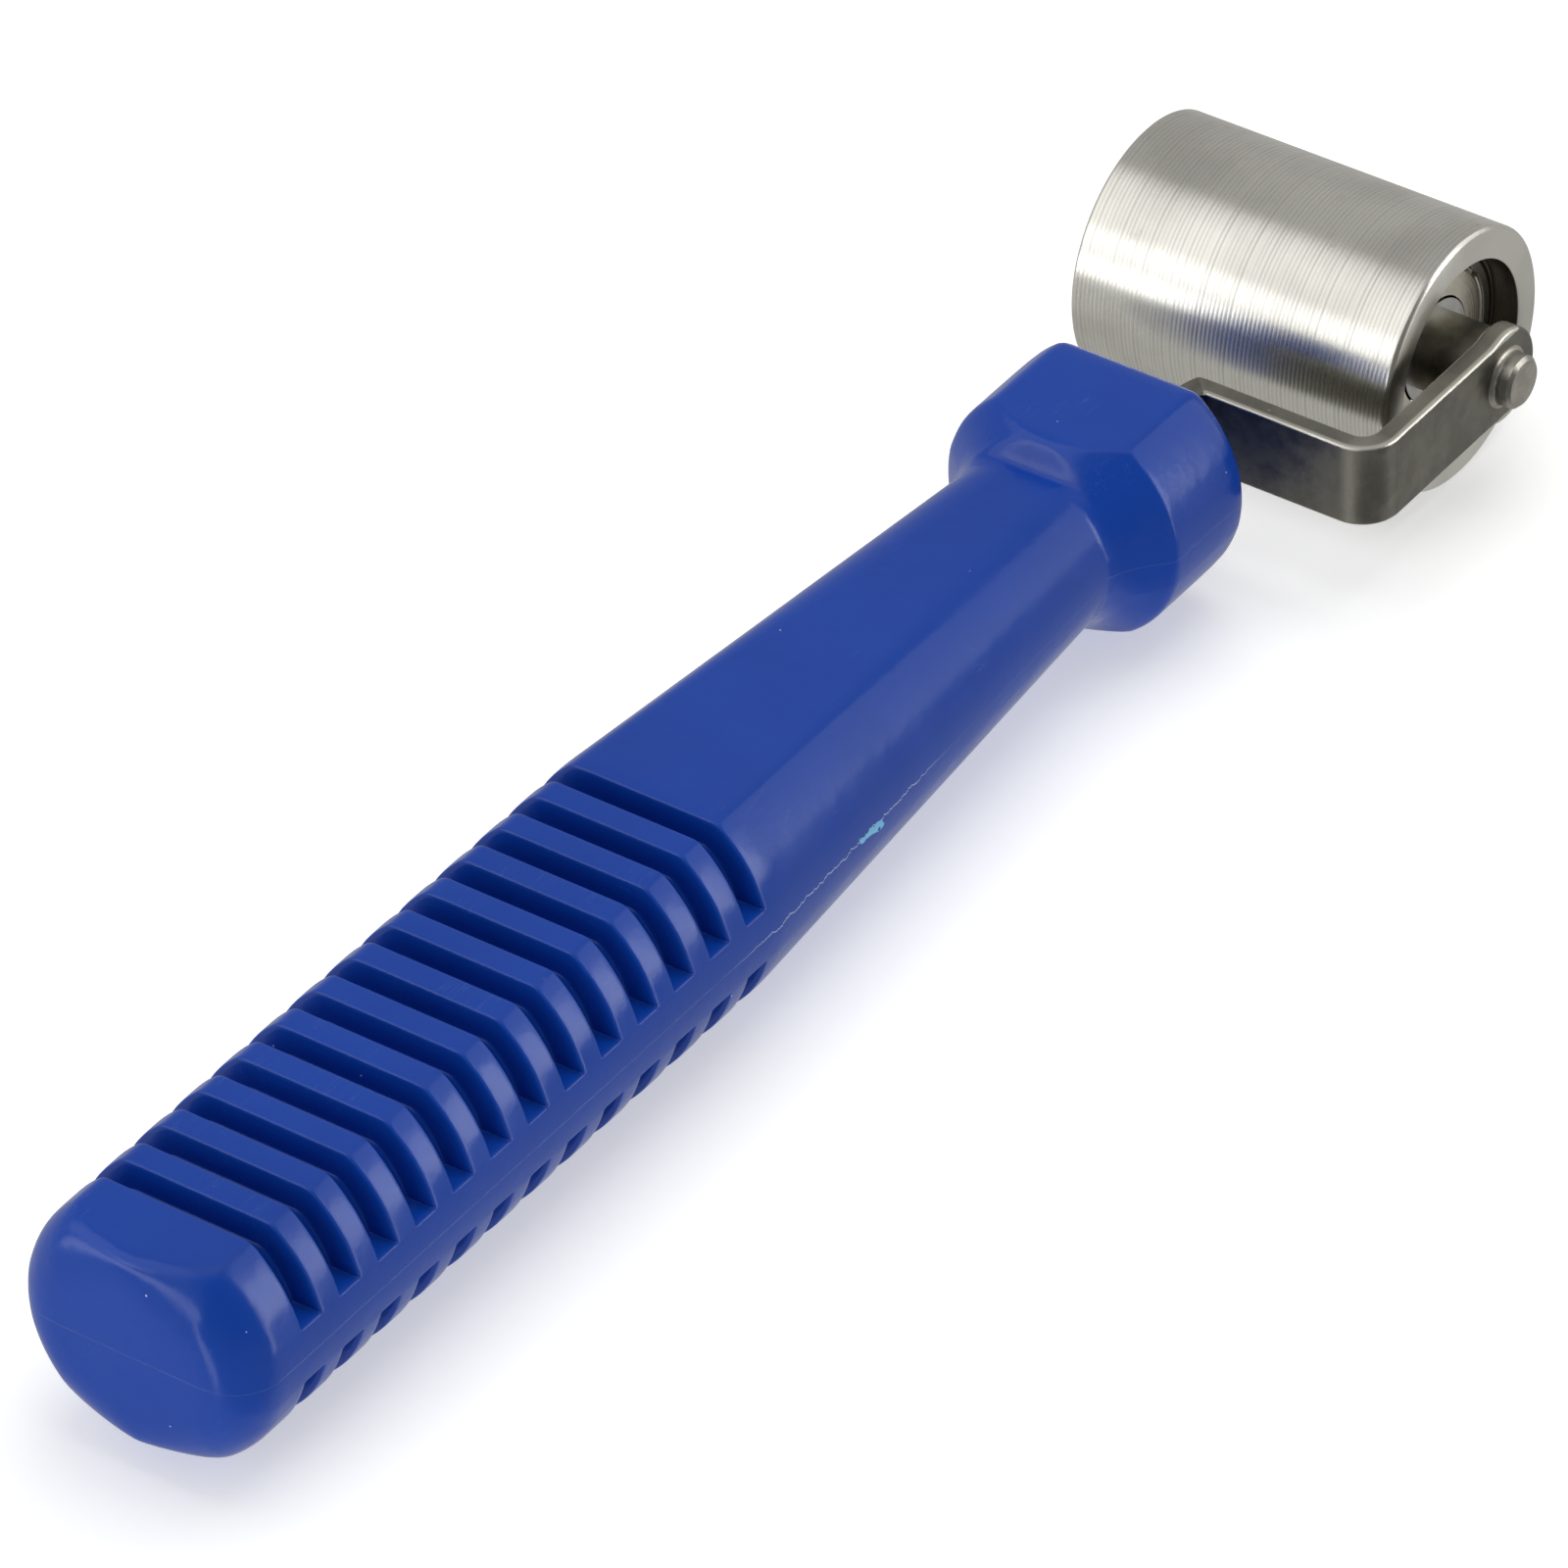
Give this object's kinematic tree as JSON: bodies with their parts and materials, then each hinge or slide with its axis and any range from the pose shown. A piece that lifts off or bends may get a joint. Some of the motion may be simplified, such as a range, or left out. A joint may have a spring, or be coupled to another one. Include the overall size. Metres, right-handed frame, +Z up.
{
  "type": "seam roller",
  "caption": "Hand seam roller: a grooved plastic handle and a one-armed bent steel bracket, with a steel roller that turns on two shielded ball bearings.",
  "frame": {"origin": "under the middle of the tool, on the plane the roller stands on", "axes": "+X from the butt of the handle to the roller, +Y along the axle, +Z up"},
  "size_m": [0.2206, 0.0478, 0.03],
  "materials": {
    "blue_plastic": "satin",
    "bracket_steel": "matte",
    "turned_steel": "turned",
    "axle_steel": "dull",
    "bearing_steel": "ground",
    "ball_steel": "polished",
    "shield_steel": "satin"
  },
  "bodies": {
    "frame": {"handle": "blue_plastic", "bracket": "bracket_steel", "axle_pin": "axle_steel", "arm_spacer": "axle_steel", "distance_sleeve": "axle_steel", "retaining_ring": "bearing_steel", "bearing_inner_ring_left": "bearing_steel", "bearing_inner_ring_right": "bearing_steel"},
    "roller": {"roller_shell": "turned_steel", "bearing_outer_ring_left": "bearing_steel", "shield_outer_left": "shield_steel", "shield_inner_left": "shield_steel", "snap_wire_outer_left": "bearing_steel", "snap_wire_inner_left": "bearing_steel", "bearing_outer_ring_right": "bearing_steel", "shield_outer_right": "shield_steel", "shield_inner_right": "shield_steel", "snap_wire_outer_right": "bearing_steel", "snap_wire_inner_right": "bearing_steel"},
    "cage_left": {"bearing_balls_left": "ball_steel", "cage_ribbon_outer_left": "bearing_steel", "cage_ribbon_inner_left": "bearing_steel"},
    "cage_right": {"bearing_balls_right": "ball_steel", "cage_ribbon_outer_right": "bearing_steel", "cage_ribbon_inner_right": "bearing_steel"}
  },
  "joints": [
    {"name": "roller_spin", "type": "hinge", "parent": "frame", "child": "roller", "pos_m": [0.09532, 0.00392, 0.015], "axis": [0, 1, 0], "continuous": true},
    {"name": "cage_spin_left", "type": "hinge", "parent": "frame", "child": "cage_left", "pos_m": [0.09532, 0.00392, 0.015], "axis": [0, 1, 0], "continuous": true},
    {"name": "cage_spin_right", "type": "hinge", "parent": "frame", "child": "cage_right", "pos_m": [0.09532, 0.00392, 0.015], "axis": [0, 1, 0], "continuous": true}
  ],
  "couplings": [
    {"joint": "cage_spin_left", "follows": "roller_spin", "ratio": 0.6323},
    {"joint": "cage_spin_right", "follows": "roller_spin", "ratio": 0.6323}
  ]
}
